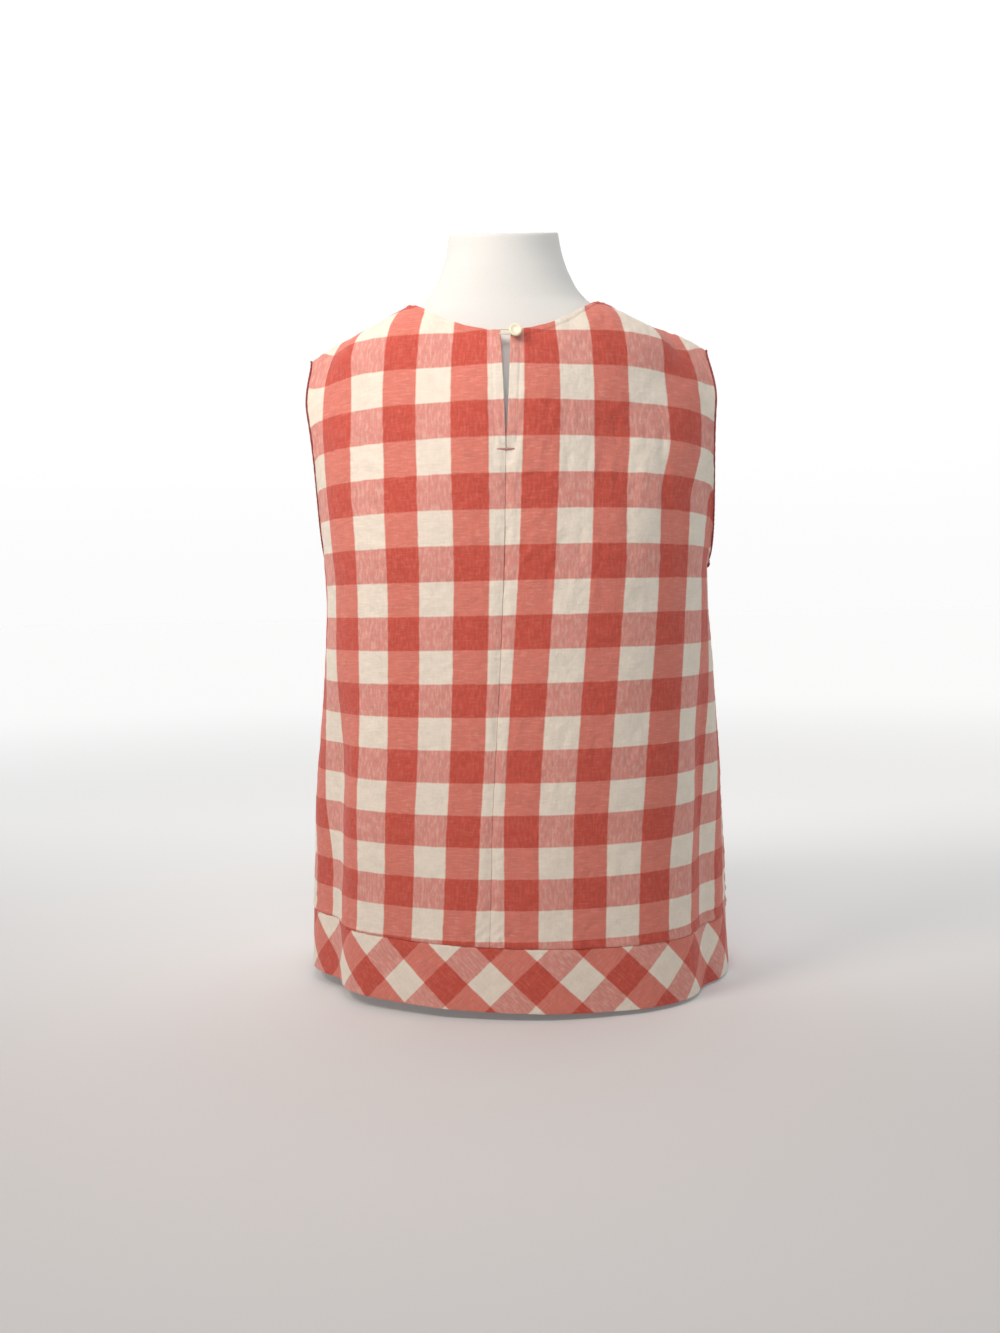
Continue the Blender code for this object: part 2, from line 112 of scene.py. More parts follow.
PUCKER = 0.0085  # from crest to crest of the slanting puckers above the band
STRIPE_WANDER = 0.0012  # how far the stripes' edges wander
STRIPE_BLUR = 0.012  # how soft they are, as a share of the repeat

# Cloth taken in at the centre back seam, on each side: depths below the neck's edge, and widths.
TAKEN_IN = (
    (0.00, 0.10, 0.20, 0.30, 0.38, 0.47, 0.56, 0.65),
    (0.0032, 0.0022, 0.0035, 0.0052, 0.0060, 0.0045, 0.0020, 0.0015),
)

# How much further out the back's stripes lie at the sides and on the shoulders, by side.
SIDE_EASE = {1: 0.018, -1: 0.0155}
SHOULDER_EASE = {1: 0.0, -1: 0.0125}

# Soft folds that hang from the shoulder blades: across, down, width, length and depth, by side.
HANGING_FOLDS = {
    1: [(0.140, 0.120, 0.007, 0.045, 0.0008), (0.070, 0.150, 0.009, 0.060, 0.0005)],
    -1: [
        (0.112, 0.150, 0.005, 0.055, 0.0010),
        (0.150, 0.125, 0.006, 0.050, 0.0014),
        (0.178, 0.170, 0.006, 0.050, 0.0014),
        (0.128, 0.300, 0.010, 0.070, 0.0007),
    ],
}

# -------- the camera
IMAGE = (1000, 1333)
FOCAL_PIXELS = 1206
CAMERA_PLACE = (0.0, 1.270, 0.395)
CAMERA_PITCH = 12.7  # degrees below the horizon
CAMERA_ROLL = 1.2
IMAGE_CENTRE = (517, 872)  # where the camera's axis meets the image


def table(names, rows):
    """The rows as one array for each named column."""
    return dict(zip(names.split(), np.array(rows, float).T))


# The level rings of the cloth, its folds and the rings of the form, as in the CAD model.
BODY = table(
    "height  half    back    front   widest square  lean     turn left_seam right_seam tilt",
    [
        (0.008, 0.2258, 0.1700, -0.1720, -0.030, 2.30, -0.0028, 8.7, 88.8, 93.2, 0.006),
        (0.072, 0.2213, 0.1690, -0.1700, -0.030, 2.30, -0.0028, 8.7, 87.8, 92.2, 0.006),
        (0.132, 0.2173, 0.1690, -0.1670, -0.028, 2.30, -0.0038, 8.2, 85.8, 92.2, 0.005),
        (0.188, 0.2133, 0.1690, -0.1640, -0.024, 2.30, -0.0038, 7.7, 81.8, 91.2, 0.004),
        (0.243, 0.2078, 0.1690, -0.1620, -0.020, 2.30, -0.0058, 7.2, 77.8, 88.2, 0.003),
        (0.297, 0.2013, 0.1690, -0.1600, -0.014, 2.30, -0.0068, 6.5, 80.8, 85.2, 0.002),
        (0.349, 0.1953, 0.1690, -0.1580, -0.006, 2.35, -0.0068, 5.6, 85.0, 87.0, 0.001),
        (0.395, 0.1903, 0.1690, -0.1550, 0.000, 2.40, -0.0068, 4.8, 87.0, 89.0, 0.000),
        (0.425, 0.1893, 0.1695, -0.1520, 0.004, 2.40, -0.0058, 3.9, 88.3, 89.7, 0.000),
        (0.470, 0.1883, 0.1700, -0.1480, 0.008, 2.40, -0.0038, 3.1, 88.3, 89.7, 0.000),
    ],
)
FOLDS = table(
    "middle spread depth  top    full",
    [
        (55, 7.5, -0.0140, 0.345, 0.200),
        (-68, 7.0, -0.0110, 0.375, 0.220),
        (27, 9.0, -0.0025, 0.300, 0.060),
        (-30, 10.0, -0.0030, 0.320, 0.080),
        (98, 14.0, 0.0040, 0.330, 0.120),
        (-103, 14.0, 0.0040, 0.340, 0.120),
        (145, 10.0, -0.0080, 0.340, 0.100),
        (-148, 10.0, -0.0070, 0.340, 0.100),
        (180, 12.0, -0.0040, 0.300, 0.060),
    ],
)
FORM = table(
    "height half    back    front   widest square",
    [
        (0.000, 0.1500, 0.1300, -0.0850, 0.020, 2.2),
        (0.060, 0.1650, 0.1400, -0.0950, 0.020, 2.2),
        (0.180, 0.1400, 0.1180, -0.0750, 0.020, 2.2),
        (0.250, 0.1260, 0.1120, -0.0700, 0.020, 2.2),
        (0.330, 0.1380, 0.1300, -0.0850, 0.020, 2.2),
        (0.420, 0.1580, 0.1550, -0.1150, 0.030, 2.2),
        (0.500, 0.1640, 0.1640, -0.0950, 0.040, 2.10),
        (0.550, 0.1680, 0.1630, -0.0680, 0.045, 2.00),
        (0.585, 0.1700, 0.1580, -0.0400, 0.050, 1.90),
        (0.605, 0.1675, 0.1530, -0.0220, 0.053, 1.85),
        (0.617, 0.1600, 0.1490, -0.0100, 0.056, 1.85),
        (0.627, 0.1480, 0.1455, -0.0010, 0.059, 1.85),
        (0.636, 0.1300, 0.1425, 0.0070, 0.063, 1.85),
        (0.644, 0.1080, 0.1400, 0.0140, 0.069, 1.90),
        (0.653, 0.0850, 0.1375, 0.0210, 0.076, 1.95),
        (0.664, 0.0700, 0.1355, 0.0270, 0.081, 2.00),
        (0.680, 0.0595, 0.1335, 0.0310, 0.083, 2.00),
        (0.697, 0.0530, 0.1325, 0.0330, 0.083, 2.00),
        (0.7165, 0.0490, 0.1320, 0.0340, 0.083, 2.00),
    ],
)


# -------- curves and rings, as in the CAD model
def hermite(start, end, start_slope, end_slope, t):
    """The smooth curve from start to end that leaves and arrives along the two slopes."""
    return (
        (2 * t**3 - 3 * t**2 + 1) * start
        + (t**3 - 2 * t**2 + t) * start_slope
        + (3 * t**2 - 2 * t**3) * end
        + (t**3 - t**2) * end_slope
    )


def ease(t):
    """0 to 1, level at both ends."""
    t = np.clip(t, 0, 1)
    return t * t * (3 - 2 * t)


def through(at, knots, values):
    """A smooth curve through the values that a table gives at its knots."""
    slopes = np.gradient(values, knots)
    i = np.clip(np.searchsorted(knots, at) - 1, 0, len(knots) - 2)
    step = knots[i + 1] - knots[i]
    t = np.clip((at - knots[i]) / step, 0, 1)
    return hermite(values[i], values[i + 1], slopes[i] * step, slopes[i + 1] * step, t)


def sections(rings, height):
    return {name: through(height, rings["height"], rings[name]) for name in rings}


def radius_at(angle, s):
    """Distance of a ring from its middle, at an angle from the centre back."""
    along, across = np.cos(angle), np.sin(angle)
    depth = np.where(along > 0, s["back"] - s["widest"], s["widest"] - s["front"])
    power = s["square"]
    return ((np.abs(across) / s["half"]) ** power + (np.abs(along) / depth) ** power) ** (-1 / power)


def fold_depth(angle, height):
    """How far the folds move the cloth outwards."""
    moved = np.zeros(np.broadcast(angle, height).shape)
    for middle, spread, depth, top, full in zip(*FOLDS.values()):
        away = (np.degrees(angle) - middle + 180) % 360 - 180
        moved += depth * np.exp(-((away / spread) ** 2)) * ease((top - height) / (top - full))
    return moved


def body_point(angle, height):
    """A point of the cloth's inner face, by its angle from the centre back and its height."""
    s = sections(BODY, height)
    radius = radius_at(angle, s) + fold_depth(angle, height)
    turned = angle + np.radians(s["turn"])
    return np.stack(
        [
            s["lean"] + radius * np.sin(turned),
            s["widest"] + radius * np.cos(turned),
            height + s["tilt"] * np.sin(turned),
        ],
        axis=-1,
    )


def form_point(angle, height):
    """A point of the dress form."""
    s = sections(FORM, height)
    radius = radius_at(angle, s)
    x, y = radius * np.sin(angle), s["widest"] + radius * np.cos(angle)
    return np.stack([x, y, height + 0 * angle], axis=-1)


# -------- the panels' grids, as in the CAD model
def curve(start, end, start_slope, end_slope, t, side=1):
    """A smooth curve between two points of the wearer's left half, or its mirror image at side -1."""
    ends = (np.array(v, float) for v in (start, end, start_slope, end_slope))
    return hermite(*ends, np.asarray(t, float)[..., None]) * (side, 1, 1)


def shoulder_seam(t, side):
    return curve(NECK_SIDE, SHOULDER_TIP[side], (0.100, -0.006, -0.022), (0.085, -0.004, -0.060), t, side)


def neckline(t, side, front):
    """From the centre back, or the centre front, to the shoulder seam."""
    if front:
        return curve(NECK_FRONT, NECK_SIDE, (0.200, 0, 0), (0.010, 0.150, 0.090), t, side)
    return curve(NECK_BACK, NECK_SIDE, (0.130, 0, 0), (0.020, -0.140, 0.045), t, side)


def armhole(t, side, front):
    """From the underarm up to the shoulder tip, along the front's or the back's edge."""
    underarm = body_point(panel_angle(1, UNDERARM, side, front), UNDERARM) * (side, 1, 1)
    swing = -0.31 if front else 0.19
    low, high = ARMHOLE_LEAN[side]
    return curve(underarm, SHOULDER_TIP[side], (low, swing, 0.06), (high, -0.65 * swing, 0.20), t, side)


def panel_angle(across, height, side, front):
    """The angle from the centre back at a share of the way from a panel's middle to its side seam."""
    s = sections(BODY, np.asarray(height, float))
    seam = s["left_seam"] if side > 0 else s["right_seam"]
    gap = np.degrees(SEAM_GAP / 2 / s["half"])
    degrees = 180 - (180 - seam - gap) * across if front else (seam - gap) * across
    return side * np.radians(degrees)


def half_panel(side, front):
    """The grid of half the front or the back: rows go up from the band seam, columns out to the side."""
    across = np.linspace(0, 1, COLUMNS + 1)
    heights = np.linspace(BAND_SEAM + SEAM_GAP / 2, UNDERARM, RINGS_BELOW + 1)[:, None]
    below = body_point(panel_angle(across, heights, side, front), heights)

    angles = panel_angle(across, UNDERARM, side, front)
    base = below[-1]
    rise = (body_point(angles, UNDERARM + 0.001) - base) / 0.001
    on_shoulder = np.clip((across - NECK_SHARE) / (1 - NECK_SHARE), 0, 1)
    ends_at_neck = (across < NECK_SHARE)[:, None]
    top = np.where(
        ends_at_neck, neckline(across / NECK_SHARE, side, front), shoulder_seam(on_shoulder, side)
    )
    inwards = 1 if front else -1
    top[:, 1] -= np.where(across < NECK_SHARE, 0, inwards * SEAM_GAP / 2)
    on_neck = np.clip(across / NECK_SHARE, 0, 1)
    lean = 0.06 + 0.12 * on_neck + 0.12 * on_shoulder
    lean_in = np.stack([0 * across, inwards * lean, 0.17 - 0.08 * on_neck - 0.05 * on_shoulder], -1)
    up = np.linspace(0, 1, RINGS_ABOVE + 1)[:, None] ** 1.3
    above = hermite(base, top, rise * 0.30, lean_in, up[..., None])
    edge = armhole(up[:, 0], side, front)
    above += (edge - above[:, -1])[:, None] * (across**4)[:, None]
    return np.concatenate([below[:-1], above])


def opened(grid, side):
    """A half of the back with its middle edge moved off the other half, and apart along the neck slit."""
    down = grid[-1, 0, 2] - grid[:, 0, 2]
    half_width = SEAM_GAP / 2 + SLIT_HALF_WIDTH * np.clip(1 - down / SLIT_DEPTH, 0, 1)
    near = (1 - np.linspace(0, 1, grid.shape[1])) ** 10
    grid[..., 0] += side * half_width[:, None] * near
    return grid


def half_band(side, front):
    """The grid of half a hem band: rows go up from the hem, columns out to the side."""
    heights = np.linspace(HEM, BAND_SEAM - SEAM_GAP / 2, BAND_RINGS + 1)[:, None]
    across = np.linspace(0, 1, COLUMNS + 1)
    return body_point(panel_angle(across, heights, side, front), heights)


def push_out(points, form_tree):
    """How far each point has to move so that it is FORM_GAP outside the form."""
    moves = np.zeros_like(points)
    for place in np.ndindex(points.shape[:-1]):
        point = Vector(points[place])
        near, normal, _, _ = form_tree.find_nearest(point)
        outside = (point - near).dot(normal)
        if outside < FORM_GAP:
            moves[place] = np.array(normal) * (FORM_GAP - outside)
    return moves


def relaxed(grid):
    """The grid with the points above the underarm drawn a little towards their neighbours."""
    calm = grid.copy()
    calm[1:-1, 1:-1] = (grid[2:, 1:-1] + grid[:-2, 1:-1] + grid[1:-1, 2:] + grid[1:-1, :-2]) / 4
    calm[-1, 1:-1] = (grid[-1, 2:] + grid[-1, :-2]) / 2
    calm[1:-1, 0] = (grid[2:, 0] + grid[:-2, 0]) / 2
    share = 0.4 * ease(np.arange(-RINGS_BELOW, len(grid) - RINGS_BELOW) / 3)
    return grid + (calm - grid) * share[:, None, None]


def off_the_form(grid, form_tree):
    """The grid with its corners, and then the middles of its faces, moved off the form."""
    for _ in range(5):
        grid = relaxed(grid)
        grid = grid + push_out(grid, form_tree)
    for _ in range(4):
        middles = (grid[1:, 1:] + grid[1:, :-1] + grid[:-1, 1:] + grid[:-1, :-1]) / 4
        moves = push_out(middles, form_tree)
        for rows in (slice(1, None), slice(None, -1)):
            for columns in (slice(1, None), slice(None, -1)):
                grid[rows, columns] += moves * 0.5
    return grid


# -------- finer grids
def unit(vectors):
    return vectors / np.maximum(np.linalg.norm(vectors, axis=-1, keepdims=True), 1e-12)


def normals_of(grid):
    """Normals of a grid whose rows go up: outwards where its columns go round by rising angle."""
    return unit(np.cross(np.gradient(grid, axis=0), np.gradient(grid, axis=1)))


def places(steps):
    """Places along a grid, in cells: a number of steps in each cell, and a tight one at each end."""
    inside = [i + np.arange(n) / n for i, n in enumerate(steps)]
    return np.unique(np.concatenate([*inside, [len(steps), 0.02, len(steps) - 0.02]]))


def spline_weights(count, at):
    """Weights that draw a natural cubic curve through values at 0, 1, 2 and so on, and read it."""
    joined, bends = np.eye(count), np.zeros((count, count))
    for i in range(1, count - 1):
        joined[i, i - 1 : i + 2] = (1, 4, 1)
        bends[i, i - 1 : i + 2] = (6, -12, 6)
    bend = np.linalg.solve(joined, bends)
    one = np.eye(count)
    i = np.clip(np.floor(at).astype(int), 0, count - 2)
    t = (at - i)[:, None]
    u = 1 - t
    return u * one[i] + t * one[i + 1] + (u**3 - u) / 6 * bend[i] + (t**3 - t) / 6 * bend[i + 1]


def finer(grid, row_places, column_places):
    rows = spline_weights(grid.shape[0], row_places)
    columns = spline_weights(grid.shape[1], column_places)
    return np.einsum("ri,ijk,cj->rck", rows, grid, columns)


PANEL_ROWS = places([20] + [7] * (RINGS_BELOW + RINGS_ABOVE - 2) + [20])
BACK_COLUMNS = places([22] + [7] * (COLUMNS - 2) + [12])
FRONT_COLUMNS = places([6] + [5] * (COLUMNS - 2) + [12])
BAND_ROWS = places([14, 8, 14])
BAND_COLUMNS = places([10] + [7] * (COLUMNS - 2) + [12])

NECK_COLUMN = NECK_SHARE * COLUMNS
UNDERARM_ROW = RINGS_BELOW
UNDERARM_START = int(np.argmin(np.abs(PANEL_ROWS - UNDERARM_ROW)))
EDGE_SHIFTS = EDGE_SHIFT * ease((PANEL_ROWS - UNDERARM_ROW) / 2.5)[:, None]  # growing above the underarm
SETTLING_STEPS = 1500


def lengths_from(points, start):
    """Distance along the first axis of the points, zero at the given index."""
    steps = np.linalg.norm(np.diff(points, axis=0), axis=-1)
    along = np.concatenate([0 * steps[:1], np.cumsum(steps, axis=0)])
    return along - along[start]


class Piece:
    """A piece of cloth: its grid of inner points, outward normals and places on the flat cloth.

    The first column is the middle of the front or back. across grows from it towards the side, and down from
    the neck's edge, or from the band's seam, at that column. from_middle, from_side, from_foot and from_top
    are distances from the grid's edges, and lift is how far the relief moves the cloth outwards.
    """

    def __init__(self, grid, side, front, columns=None):
        self.grid, self.side, self.front, self.columns = grid, side, front, columns
        self.outwards = side * (-1 if front else 1) * normals_of(grid)
        level = unit(np.cross(self.outwards, (0.0, 0.0, 1.0)))
        level *= np.sign((level[:, :1] * (grid[:, 1:2] - grid[:, :1])).sum(-1, keepdims=True))
        downhill = np.cross(self.outwards, level)
        downhill *= -np.sign(downhill[..., 2:])
        steps = np.diff(grid, axis=1)

        def summed(direction):
            middle = (direction[:, 1:] + direction[:, :-1]) / 2
            gone = np.cumsum((steps * middle).sum(-1), axis=1)
            return np.concatenate([0 * gone[:, :1], gone], axis=1)

        down_the_middle = -lengths_from(grid[:, 0], -1)
        self.across = summed(level)
        self.down = down_the_middle[:, None] + summed(downhill)
        self.from_middle = lengths_from(grid.swapaxes(0, 1), 0).T
        self.from_side = -lengths_from(grid.swapaxes(0, 1), -1).T
        self.from_foot = lengths_from(grid, 0)
        self.from_top = -lengths_from(grid, -1)
        self.lift = np.zeros(grid.shape[:2])

    @property
    def outer(self):
        return self.grid + self.outwards * (WALL + self.lift)[..., None]

    @property
    def inner(self):
        return self.grid + self.outwards * self.lift[..., None]


def flattened(coarse):
    """Places on the flat cloth of a coarse piece: across and down, one above the other in the last axis.

    Up to the underarm they are the piece's own. Over the shoulder, where nothing is level, they start from
    the lengths along the grid and settle until neighbours are as far apart on the flat cloth as on the body.
    """
    grid, base = coarse.grid, UNDERARM_ROW
    flat = np.stack([coarse.across, coarse.down], -1)
    wider = coarse.from_middle[base:] / np.maximum(coarse.from_middle[base], 1e-9)
    flat[base:, :, 0] = flat[base, :, 0] * wider
    flat[base:, :, 1] = flat[base, :, 1] - (coarse.from_foot[base:] - coarse.from_foot[base])
    first, last, every = slice(None, -1), slice(1, None), slice(None)
    links = [((every, first), (every, last)), ((first, every), (last, every))]
    links += [((first, first), (last, last)), ((first, last), (last, first))]
    lengths = [np.linalg.norm(grid[a] - grid[b], axis=-1) for a, b in links]
    for _ in range(SETTLING_STEPS):
        pull, pulls = np.zeros_like(flat), np.zeros(flat.shape[:2])
        for (a, b), length in zip(links, lengths):
            apart = flat[b] - flat[a]
            now = np.linalg.norm(apart, axis=-1)
            half = apart * ((now - length) / np.maximum(now, 1e-9))[..., None] / 2
            pull[a] += half
            pull[b] -= half
            pulls[a] += 1
            pulls[b] += 1
        move = 1.6 * pull / pulls[..., None]
        move[: base + 1] = 0
        move[:, 0] = 0
        flat += move
    return flat


# -------- the relief of the cloth
def ripple(along, length, phase):
    """An uneven wave between about -1 and 1, whose crests are about a length apart."""
    x = 2 * math.pi * along / length
    quick, slow = np.sin(1.73 * x + 2.1 + 2 * phase), np.sin(0.61 * x + 4.4 - phase)
    return (np.sin(x + phase) + 0.6 * quick + 0.5 * slow) / 1.7


def bump(distance, width):
    return np.exp(-((distance / width) ** 2))


def turned_edge(distance, width):
    """The thicker edge where cloth is folded under: a step, with a small groove at its stitches."""
    step = 1 - ease((distance - width + 0.0006) / 0.0016)
    dip, dip_width = STITCH_DIP
    return 0.00055 * step - dip * bump(distance - width, dip_width)


def seam(distance, height, width, dip, dip_width, fall=0.003):
    """The cloth lifted by a seam's allowances, up to their width, and drawn in along the seam itself."""
    return height * (1 - ease((distance - width) / fall)) - dip * bump(distance, dip_width)


def puckers(height, along, length, phase, distance, reach):
    """Ripples along a seam, which fade with the distance from it."""
    return height * ripple(along, length, phase) * bump(distance, reach)


def creases(height, along, length, phase, other, other_length, other_phase):
    """Ripples one way of the cloth, which come and go the other way."""
    return height * ripple(along, length, phase) * ripple(other, other_length, other_phase)


def give_panel_relief(piece):
    """Moves a panel's surface by its hems, seams, puckers and creases."""
    p = piece
    neck = ease((NECK_COLUMN + 0.4 - p.columns) / 0.8)[None, :]
    lift = neck * turned_edge(p.from_top, NECK_HEM)
    lift += neck * puckers(0.00045, p.across, 0.021, 1.3 * p.side, p.from_top, 0.016)
    lift += (1 - neck) * seam(p.from_top, 0.0003, 0.006, 0.0005, 0.0015)

    lift += seam(p.from_foot, 0.0006, RIDGE_WIDTH, 0.0005, 0.0010, fall=0.0022)
    lift += puckers(0.0004, p.across, 0.0115, p.side, p.from_foot - 0.004, 0.016)
    lift += puckers(0.00022, p.across + 0.4 * p.from_foot, 0.029, 2.0, p.from_foot, 0.050)
    slanting = 0.7 * (p.down - p.side * p.across)
    drawn = ease(ripple(p.side * p.across, 0.085, 1.9) + 0.4) * bump(p.from_foot - 0.014, 0.017)
    lift += 0.00032 * np.sin(2 * math.pi * slanting / PUCKER) * drawn

    sewn = ease((UNDERARM_ROW - PANEL_ROWS) / 0.6)[:, None]
    lift += sewn * seam(p.from_side, 0.0003, SEAM_ALLOWANCE, 0.0007, 0.0022)
    lift += sewn * puckers(0.0003, p.down, 0.014, 0.7, p.from_side, 0.010)
    lift += (1 - sewn) * puckers(0.0002, p.down, 0.011, 0.2, p.from_side, 0.006)

    lift += creases(0.0006, p.across + 0.25 * p.down, 0.085, 0.4 * p.side, p.down, 0.30, 1.0)
    slanting = p.down - 0.2 * p.across
    lift += creases(0.0005, p.across + 0.15 * p.down, 0.017, 2.3 * p.side, slanting, 0.095, 0.6)
    lift += creases(0.00038, p.down + 0.3 * p.across, 0.024, 1.7 * p.side, p.across, 0.070, 2.9)

    if not p.front:
        slit = ease((SLIT_DEPTH - p.down[:, :1]) / 0.004)
        lift += slit * turned_edge(p.from_middle, SLIT_HEM)
        lift += slit * puckers(0.00028, p.down, 0.0062, 0.9 * p.side, p.from_middle - 0.004, 0.006)
        sewn = 1 - slit
        lift += sewn * seam(p.from_middle, 0.0003, SEAM_ALLOWANCE, 0.0010, 0.0040)
        lift += sewn * puckers(0.0002, p.down, 0.0125, 0.5, p.from_middle - 0.005, 0.007)
        lift += sewn * puckers(0.00035, p.down, 0.055, 1.1, p.from_middle - 0.004, 0.012)
        for across, down, width, length, depth in HANGING_FOLDS[p.side]:
            lift -= depth * bump(p.across - across, width) * bump(p.down - down, length)
    p.lift = lift


def give_band_relief(piece):
    """Moves a hem band's surface by its seams and puckers."""
    p = piece
    lift = puckers(0.00028, p.across, 0.0115, p.side, p.from_top, 0.010) - 0.0005 * bump(p.from_top, 0.0010)
    lift += puckers(0.0003, p.across, 0.043, 0.8 * p.side, p.from_foot, 0.030)
    p.lift = lift - 0.0007 * bump(p.from_side, 0.0022)


# -------- meshes
def new_object(name, points, faces, material, places_on_cloth=None):
    """A smooth mesh; where places on the flat cloth are given, they become its UV map "cloth"."""
    mesh = bpy.data.meshes.new(name)
    mesh.from_pydata(np.asarray(points, float).tolist(), [], [list(map(int, f)) for f in faces])
    mesh.materials.append(material)
    mesh.polygons.foreach_set("use_smooth", [True] * len(mesh.polygons))
    if places_on_cloth is not None:
        corners = np.zeros(len(mesh.loops), int)
        mesh.loops.foreach_get("vertex_index", corners)
        layer = mesh.uv_layers.new(name="cloth")
        layer.uv.foreach_set("vector", np.asarray(places_on_cloth, float)[corners].ravel())
    mesh.update()
    obj = bpy.data.objects.new(name, mesh)
    bpy.context.scene.collection.objects.link(obj)
    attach(obj, "root")
    return obj


def grid_faces(rows, columns, flip=False, closed=False):
    at = np.arange(rows * columns).reshape(rows, columns)
    if closed:
        at = np.concatenate([at, at[:, :1]], axis=1)
    faces = np.stack([at[:-1, :-1], at[:-1, 1:], at[1:, 1:], at[1:, :-1]], -1).reshape(-1, 4)
    return faces[:, ::-1] if flip else faces


def shell(name, outer, inner, places_on_cloth, material):
    """A wall of cloth with rounded edges between two grids, rows up and columns by rising angle."""
    rows, columns, _ = outer.shape
    outer, inner = outer.copy(), inner.copy()
    half = (outer - inner) / 2
    rim = np.zeros((rows, columns), bool)
    rim[0] = rim[-1] = True
    rim[:, 0] = rim[:, -1] = True
    outer[rim] -= half[rim] * EDGE_ROUNDING
    inner[rim] += half[rim] * EDGE_ROUNDING

    middle = (outer + inner) / 2
    ends = unit(middle[[0, -1]] - middle[[1, -2]])
    sides = unit(middle[:, [0, -1]] - middle[:, [1, -2]])
    swell = SEAM_GAP * 0.42  # the rims bulge into the gaps between pieces, but do not meet
    edge = middle.copy()
    edge[[0, -1]] += ends * swell
    edge[:, [0, -1]] += sides * swell

    at = np.arange(rows * columns).reshape(rows, columns)
    loop = np.concatenate([at[0, :-1], at[:-1, -1], at[-1, :0:-1], at[:0:-1, 0]])
    count = rows * columns
    points = np.concatenate([outer.reshape(-1, 3), inner.reshape(-1, 3), edge.reshape(-1, 3)[loop]])
    onward = np.roll(loop, -1)
    ring = 2 * count + np.arange(len(loop))
    ring_on = np.roll(ring, -1)
    faces = np.concatenate(
        [
            grid_faces(rows, columns),
            grid_faces(rows, columns, flip=True) + count,
            np.stack([loop, ring, ring_on, onward], -1),
            np.stack([loop + count, onward + count, ring_on, ring], -1),
        ]
    )
    flat = places_on_cloth.reshape(-1, 2)
    obj = new_object(name + "_cloth", points, faces, material, np.concatenate([flat, flat, flat[loop]]))
    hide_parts(name)
    return obj


# -------- materials
def shader_graph(name, roughness, sheen=0.0):
    """A new material, its node tree and its principled shader."""
    material = bpy.data.materials.new(name)
    material.use_nodes = True
    tree = material.node_tree
    shader = tree.nodes["Principled BSDF"]
    shader.inputs["Roughness"].default_value = roughness
    shader.inputs["Sheen Weight"].default_value = sheen
    return material, tree, shader


def add(tree, kind, values=None, **settings):
    """A node with its settings, whose inputs are numbers, colours or other nodes' sockets."""
    node = tree.nodes.new(kind)
    for key, value in settings.items():
        setattr(node, key, value)
    for key, value in (values or {}).items():
        if isinstance(value, bpy.types.NodeSocket):
            tree.links.new(value, node.inputs[key])
        else:
            node.inputs[key].default_value = value
    return node


def math_node(tree, operation, first, second=0.0):
    return add(tree, "ShaderNodeMath", {0: first, 1: second}, operation=operation).outputs[0]


def product(tree, first, second):
    return math_node(tree, "MULTIPLY", first, second)


def mixed(tree, share, first, second):
    """From the first to the second by share; each is a colour, or another node's socket."""
    first, second = (c if isinstance(c, bpy.types.NodeSocket) else (*c, 1) for c in (first, second))
    return add(tree, "ShaderNodeMix", {0: share, 6: first, 7: second}, data_type="RGBA").outputs[2]


def noise(tree, vector, scale=1.0, detail=2.0, roughness=0.5):
    values = {"Vector": vector, "Scale": scale, "Detail": detail, "Roughness": roughness}
    return add(tree, "ShaderNodeTexNoise", values).outputs["Fac"]


def ramp(tree, value, low, high, to_low=0.0, to_high=1.0):
    values = {"Value": value, 1: low, 2: high, 3: to_low, 4: to_high}
    return add(tree, "ShaderNodeMapRange", values, interpolation_type="SMOOTHSTEP").outputs[0]


def srgb(red, green, blue):
    """A colour as it looks on a screen, from 0 to 255, as the linear colour that a shader takes."""
    c = np.array((red, green, blue)) / 255
    return tuple(np.where(c <= 0.04045, c / 12.92, ((c + 0.055) / 1.055) ** 2.4))


WHITE_ON_WHITE = srgb(241, 232, 216)
RED_WARP = srgb(222, 128, 112)  # red threads along the cloth, white ones across it
RED_WEFT = srgb(223, 149, 137)
RED_ON_RED = srgb(202, 81, 65)
FORM_WHITE = srgb(226, 229, 225)
THREAD_PINK = srgb(196, 140, 134)
BINDING_RED = srgb(152, 68, 66)


